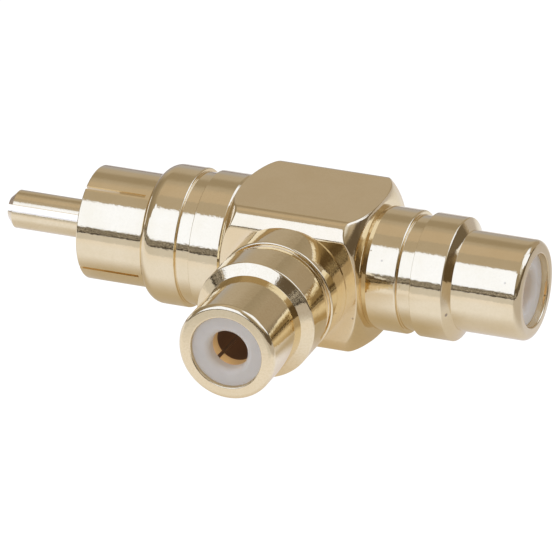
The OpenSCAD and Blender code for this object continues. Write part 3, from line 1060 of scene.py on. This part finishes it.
@dataclass
class Socket(TurnedArm):
    """One socket: a turned shell with two collars and a barrel, an insulator and a slit tubular contact."""

    groove_lit: float = 0.15
    bore_fade: float = 0.08
    collar_r: float = 5.1
    seat_chamfer: float = 0.15
    seat_chamfer_run: float = 0.4
    seat_shade: float = 0.25
    seat_fade: float = 0.3
    seat_shade_from: float = -0.5
    inner_collar_len: float = 3.0
    inner_edge: float = 0.17
    groove_floor: float = 4.75
    groove_root: float = 0.06
    outer_collar_len: float = 2.75
    outer_back_edge: float = 0.04
    outer_front_edge: float = 0.15
    bevel_len: float = 0.5
    barrel_r: float = 4.15
    barrel_len: float = 5.85
    barrel_rim_r: float = 0.45
    bore_r: float = 3.05
    bore_edge: float = 0.13
    bore_lit: float = 0.12
    rear_bore_r: float = 3.4
    stop_z: float = 5.0
    face_recess: float = 0.3
    lip_len: float = 1.1
    lip_r: float = 1.65
    lip_round_r: float = 0.5
    insulator_cells: int = 192
    rear_flange_len: float = 3.5
    contact_cells: int = 128
    contact_r: float = 2.1
    contact_bore_r: float = 1.62
    contact_bore_len: float = 8.0
    contact_back_len: float = 0.75
    contact_flange_r: float = 2.6
    contact_flange_len: float = 0.8
    flare_len: float = 1.0
    flare_r: float = 2.0
    flare_bend: float = 0.5
    flare_fade: float = 0.5
    slits: int = 4
    slit_w: float = 0.3
    slit_len: float = 5.0
    slit_turn_deg: float = 45.0

    def __post_init__(self) -> None:
        """Works out the heights, from the bevel and the end face down to the contact's flange."""
        self.nose_z = self.inner_collar_len + self.groove_w + self.outer_collar_len
        self.end_z = self.nose_z + self.bevel_len + self.barrel_len
        self.face_z = self.end_z - self.face_recess
        self.pocket_z = self.face_z - self.lip_len
        self.bottom_z = self.pocket_z - self.contact_bore_len
        self.flange_z = self.bottom_z - self.contact_back_len

    def shell(self) -> Surface:
        """The shell: seat chamfer, collars with a groove between, bevel, barrel and stepped bore.

        Returns:
            The closed surface.
        """
        collar, floor, barrel = self.collar_r, self.groove_floor, self.barrel_r
        bore, rear, spigot = self.bore_r, self.rear_bore_r, self.spigot_r
        back_z, seat_z, end_z = -self.spigot_len, self.seat_chamfer_run, self.end_z
        groove_z, groove_end = self.inner_collar_len, self.inner_collar_len + self.groove_w
        shell = turned(Turn((
            (back_z, rear, EASED), (back_z, spigot, BROKEN), (0, spigot, CRISP),
            (0, collar - self.seat_chamfer, CRISP), (seat_z, collar, BROKEN),
            (groove_z, collar, self.inner_edge), (groove_z, floor, self.groove_root),
            (groove_end, floor, TIGHT), (groove_end, collar, self.outer_back_edge),
            (self.nose_z, collar, self.outer_front_edge), (self.nose_z + self.bevel_len, barrel, TIGHT),
            (end_z, barrel, self.barrel_rim_r), (end_z, bore, self.bore_edge),
            (self.stop_z, bore, TIGHT), (self.stop_z, rear, TIGHT))).rows(), Ring(self.shell_cells))
        # Painted shade and bounce light in the bore, on the seat chamfer and on the groove's wall
        shell.shade(bore + PAST, 0, end_z - self.bore_lit, fade=self.bore_fade)
        shell.shade(collar, self.seat_shade_from, seat_z + PAST, self.seat_shade, self.seat_fade)
        shell.shade(collar - self.groove_lit, groove_z - PAST / 2, groove_z + PAST, self.groove_shade,
                    self.groove_fade)
        return shell

    def insulator(self) -> Surface:
        """The stepped bush with a rounded lip round its hole.

        Returns:
            The closed surface.
        """
        face_z, pocket_z, flange_z, stop_z = self.face_z, self.pocket_z, self.flange_z, self.stop_z
        back_z, outer = stop_z - self.rear_flange_len, self.bore_r - self.fit
        rear, hole = self.rear_bore_r - self.fit, self.contact_r + self.fit
        rear_hole = self.contact_flange_r + self.fit
        bush = turned(Turn((
            (face_z, self.lip_r, self.lip_round_r), (face_z, outer, EASED), (stop_z, outer, TIGHT),
            (stop_z, rear, EASED), (back_z, rear, BROKEN), (back_z, rear_hole, EASED),
            (flange_z, rear_hole, TIGHT), (flange_z, hole, TIGHT), (pocket_z, hole, TIGHT),
            (pocket_z, self.lip_r, EASED)), arc_steps=10).rows(), Ring(self.insulator_cells))
        # Painted shade in the insulator's hole
        bush.shade(hole + PAST, flange_z - 1, pocket_z + 0.05)
        return bush

    def contact(self) -> Surface:
        """The tubular contact with four slits, a flared mouth, a flange and a tail.

        The tail of the side socket ends beside the others, which meet end to end in the hub.

        Returns:
            The closed surface.
        """
        pocket_z, bottom_z, flange_z = self.pocket_z, self.bottom_z, self.flange_z
        back_z, slit_z = flange_z - self.contact_flange_len, pocket_z - self.slit_len
        tail_z = self.tail_gap - self.arm.seat
        if self.arm is Arm.SIDE:
            tail_z += self.tail_r + self.fit
        tube, bore, flange, tail = self.contact_r, self.contact_bore_r, self.contact_flange_r, self.tail_r
        base = Turn((
            (bottom_z, 0, 0), (tail_z, 0, 0), (tail_z, tail, EASED), (back_z, tail, TIGHT),
            (back_z, flange, EASED), (flange_z, flange, EASED), (flange_z, tube, TIGHT),
            (slit_z, tube, 0)), closed=False).rows()[1:]
        outer = Turn(((slit_z, tube, 0), (pocket_z, tube, TIGHT), (pocket_z, self.flare_r, 0)),
                     closed=False).rows()[:-1]
        inner = Turn(((slit_z, bore, 0), (pocket_z - self.flare_len, bore, self.flare_bend),
                      (pocket_z, self.flare_r, 0)), closed=False, arc_steps=4).rows()[:-1]
        end = Turn(((slit_z, bore, 0), (bottom_z, bore, EASED), (bottom_z, 0, 0)), closed=False).rows()[1:]
        first = len(base) - 1
        ring = Ring(self.contact_cells, self.slits, self.slit_w, self.slit_turn_deg)
        contact = turned(np.concatenate([base[:-1], outer, inner[::-1], end]), ring, closed=False,
                         cut=(first, first + 2 * len(outer) - 1))
        # Painted shade down the contact's bore, fading out before the mouth
        contact.shade(bore + 2 * PAST, bottom_z - 1, pocket_z - BROKEN, fade=self.flare_fade)
        return contact

    def build(self) -> None:
        """Makes and dresses the socket's three pieces."""
        plate = self.finishes.plate_y if self.arm is Arm.SIDE else self.finishes.plate_x
        self.make("shell_turned", self.shell(), Slot.PLATE, "shell", plate)
        self.make("insulator_turned", self.insulator(), Slot.PLASTIC, "insulator", self.finishes.plastic)
        self.make("contact_turned", self.contact(), Slot.CONTACT, "contact", self.finishes.contact)


@dataclass(frozen=True)
class Panel:
    """A patch of the surroundings with soft edges, in degrees. Azimuth 0 is in front (-Y), +90 is +X.

    A slant cuts a lower corner off: the elevation of the cut at the left edge, and its rise for each degree.
    """

    azimuth: Pair
    elevation: Pair
    colour: Colour
    soft: float = 2.0
    slant: Pair | None = None

    def mask(self, azimuth: Wire, elevation: Wire) -> Wire:
        """Product of soft steps, one for each edge.

        Args:
            azimuth: Azimuth of the direction.
            elevation: Elevation of the direction.

        Returns:
            1 inside the patch and 0 outside.
        """
        inside = azimuth.band(*self.azimuth, self.soft) * elevation.band(*self.elevation, self.soft)
        if self.slant is not None:
            start, rise = self.slant
            cut = elevation - rise * (azimuth - self.azimuth[0])
            inside = inside * cut.step(start - self.soft, start + self.soft)
        return inside


@dataclass(frozen=True)
class FloorShading:
    """A patch of painted shade and bounce light on the floor, seen only in the plating.

    Each edge is its axis, 0 for X and 1 for Y, the two places in millimetres between which the patch comes
    in, and the share of the patch that it takes away.
    """

    colour: Colour
    share: float
    edges: tuple[tuple[int, float, float, float], ...]

    def mask(self, places: tuple[Wire, ...]) -> Wire:
        """Product of soft steps, one for each edge.

        Args:
            places: Object coordinates in millimetres.

        Returns:
            The share of the patch.
        """
        inside: Any = self.share
        for axis, zero, one, depth in self.edges:
            inside = inside * (places[axis].step(zero, one) * depth + (1 - depth))
        return inside


@dataclass
class Studio:
    """Pale floor, a warm room with two soft lights under a cool cast, and the camera.

    The plating's deep gold takes the cast back in a single reflection and leaves double ones golden.
    """

    azimuth_deg: float = 22.4485
    elevation_deg: float = 25.8275
    roll_deg: float = -1.0899
    distance: float = 0.700
    frame_width: float = 0.045746
    aim_right: float = -0.0027947
    aim_up: float = -0.0019897
    sensor: float = 36.0
    floor_size: float = 6.0
    floor_paint: Colour = (0.86, 0.86, 0.86, 1.0)
    floor_tone: Colour = (0.98, 0.965, 0.97, 1.0)
    floor_strength: float = 1.09
    floor_seen: float = 0.975
    floor_mirrored: float = 0.72
    room: Colour = (0.50, 0.43, 0.33, 1.0)
    cast: Triple = (1.036, 1.101, 1.337)

    # Painted shade and bounce light on the floor, seen only in the plating: behind the part, in front of it
    # and beside it, in the order in which the patches are laid
    FLOOR_SHADING = (
        FloorShading((0.98, 0.93, 0.88, 1), 1, ((1, -14, -26, 1),)),
        FloorShading((0.70, 0.67, 0.62, 1), 1, ((1, -28, -37, 1),)),
        FloorShading((0.93, 0.88, 0.74, 1), 1, ((1, 8, 20, 1),)),
        FloorShading((0.40, 0.355, 0.28, 1), 0.9, ((1, 20, 90, 1),)),
        FloorShading((0.50, 0.44, 0.37, 1), 0.95, ((0, 16, 27, 1),)),
        FloorShading((0.22, 0.165, 0.13, 1), 1, ((0, -32, -55, 1), (1, -12, 15, 1))),
        FloorShading((0.55, 0.45, 0.29, 1), 1, (
            (1, -9.5, -4.3, 1), (1, 10, 4, 1), (0, -34, -28, 1), (0, -24, -18, 0.5), (0, 14, 10, 0.45),
            (0, 23, 17, 1))),
        FloorShading((0.70, 0.56, 0.36, 1), 0.65, ((0, -6, -2, 1), (0, 8, 2, 1), (1, -23, -17, 1))))

    LIGHT = (1.15, 1.28, 1.62, 1)

    # The patches of the surroundings, from the back to the front of the pile
    PANELS = (
        Panel((-200, -60), (33, 52), (0.38, 0.315, 0.22, 1), 5),
        Panel((138, 200), (-10, 31), (0.418, 0.345, 0.25, 1), 6),
        Panel((150, 200), (31, 52), (0.37, 0.31, 0.22, 1), 4),
        Panel((-150, -84), (60, 82), (0.59, 0.49, 0.365, 1), 4),
        Panel((-200, -140), (-10, 14), (0.46, 0.43, 0.39, 1), 6),
        Panel((-135, -66), (-10, 36), (0.30, 0.245, 0.165, 1), 10),
        Panel((-66, 86), (-10, 56), (0.33, 0.275, 0.195, 1), 6),
        Panel((-66, 134), (-10, 23), (0.13, 0.10, 0.067, 1), 3.5),
        Panel((110, 147), (-10, 11), (0.17, 0.135, 0.09, 1), 3),
        Panel((-82, 40), (-10, 11), (0.05, 0.04, 0.03, 1), 1),
        Panel((-118, -92), (-10, 9), (1, 1, 1.05, 1), 1.5),
        Panel((-62, 5), (11.3, 58), LIGHT, 1.2),
        Panel((60, 86), (34, 66), (0.8, 0.8, 0.8, 1), 4),
        Panel((84, 131), (14, 78), LIGHT, 2, (41, -0.73)),
        Panel((131, 157), (34, 72), LIGHT, 4))

    # Small pale things low on the left, as waves of a noise over the directions and the values of its step
    THINGS, THINGS_STEP = (75.0, 3.0, 0.65), (0.515, 0.57)
    CLUTTER = Panel((-82, 40), (2.0, 11.5), (0.85, 0.78, 0.68, 1), 0.7)

    def camera(self) -> None:
        """Sets the camera at the photograph's angle, far enough away for its flat perspective."""
        a, e, roll = (math.radians(d) for d in (self.azimuth_deg, self.elevation_deg, self.roll_deg))
        back = Vector((math.sin(a) * math.cos(e), -math.cos(a) * math.cos(e), math.sin(e)))
        level = Vector((math.cos(a), math.sin(a), 0))
        above = back.cross(level)
        right = level * math.cos(roll) + above * math.sin(roll)
        up = above * math.cos(roll) - level * math.sin(roll)
        aim = right * self.aim_right + up * self.aim_up + Vector((0, 0, axis_height()))
        data = bpy.data.cameras.new("camera")
        data.sensor_width = self.sensor
        data.lens = self.sensor * self.distance / self.frame_width
        data.clip_start, data.clip_end = 0.01, 20.0
        camera = bpy.data.objects.new("camera", data)
        turn = Matrix((right, up, back)).transposed().to_4x4()
        camera.matrix_world = Matrix.Translation(aim + back * self.distance) @ turn
        bpy.context.scene.collection.objects.link(camera)
        bpy.context.scene.camera = camera

    def cooled(self, shader: Shader, colour: Wire) -> Wire:
        """A colour times the studio's cool cast."""
        settings = {"operation": "MULTIPLY"}
        return shader.node("ShaderNodeVectorMath", settings, {0: colour, 1: self.cast}, output="Vector")

    def floor(self) -> None:
        """A pale floor that shows white. In the plating it is a pale sheet with patches of painted shade and
        bounce light.
        """
        mesh = bpy.data.meshes.new("floor")
        s = self.floor_size / 2
        mesh.from_pydata([(-s, -s, 0), (s, -s, 0), (s, s, 0), (-s, s, 0)], [], [(0, 1, 2, 3)])
        floor = bpy.data.objects.new("floor", mesh)
        bpy.context.scene.collection.objects.link(floor)
        made = bpy.data.materials.new("pale_floor")
        shader = Shader(made)
        places = shader.parts(shader.place())
        tone: Any = self.floor_tone
        for patch in self.FLOOR_SHADING:
            tone = shader.mix(patch.mask(places), tone, patch.colour)
        camera_ray, mirrored, through = (shader.node("ShaderNodeLightPath", output=f"Is {ray} Ray")
                                         for ray in ("Camera", "Glossy", "Transmission"))
        paint = shader.node("ShaderNodeBsdfDiffuse", None, {"Color": self.floor_paint})
        shown = shader.mix(mirrored, (1, 1, 1, 1), self.cooled(shader, tone))
        white = shader.node("ShaderNodeEmission", None, {"Color": shown, "Strength": self.floor_strength})
        sees = (camera_ray + through) * self.floor_seen + mirrored * self.floor_mirrored
        shader.finish(shader.node("ShaderNodeMixShader", None, {0: sees, 1: paint, 2: white}))
        mesh.materials.append(made)

    def surroundings(self) -> None:
        """A warm room with two soft lights: one in front on the left, one at the back on the right."""
        world = bpy.data.worlds.new("room")
        bpy.context.scene.world = world
        shader = Shader(world)
        way = shader.node("ShaderNodeTexCoord", output="Generated")
        x, y, z = shader.parts(way)
        azimuth = x.math("ARCTAN2", x, 0 - y) * math.degrees(1)
        elevation = z.math("ARCSINE", z) * math.degrees(1)
        colour: Any = self.room
        for panel in self.PANELS:
            colour = shader.mix(panel.mask(azimuth, elevation), colour, panel.colour)
        things = shader.noise(way, *self.THINGS).step(*self.THINGS_STEP)
        low = self.CLUTTER.mask(azimuth, elevation)
        colour = shader.mix(things * low, colour, self.CLUTTER.colour)
        seen = self.cooled(shader, colour)
        lit = shader.node("ShaderNodeBackground", None, {"Color": seen, "Strength": 1.0})
        shader.finish(lit, "ShaderNodeOutputWorld")

    def build(self) -> None:
        """Makes the camera, the floor and the surroundings, and sets the plain view."""
        self.camera()
        self.floor()
        self.surroundings()
        bpy.context.scene.view_settings.view_transform = "Standard"


def main() -> None:
    """Builds the adapter and its studio."""
    logging.basicConfig(level=logging.INFO, format="%(name)s %(message)s")
    Studio().build()
    finishes = Finishes()
    Body(finishes).build()
    Plug(finishes, Arm.PLUG, "plug").build()
    Socket(finishes, Arm.THROUGH, "through_socket", face_recess=0.65, barrel_rim_r=0.58).build()
    Socket(finishes, Arm.SIDE, "side_socket", seat_chamfer=0.05, seat_chamfer_run=0.12).build()
    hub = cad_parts["junction_hub"]
    hub.data.materials.clear()
    hub.data.materials.append(finishes.contact)


if __name__ == "__main__":
    main()
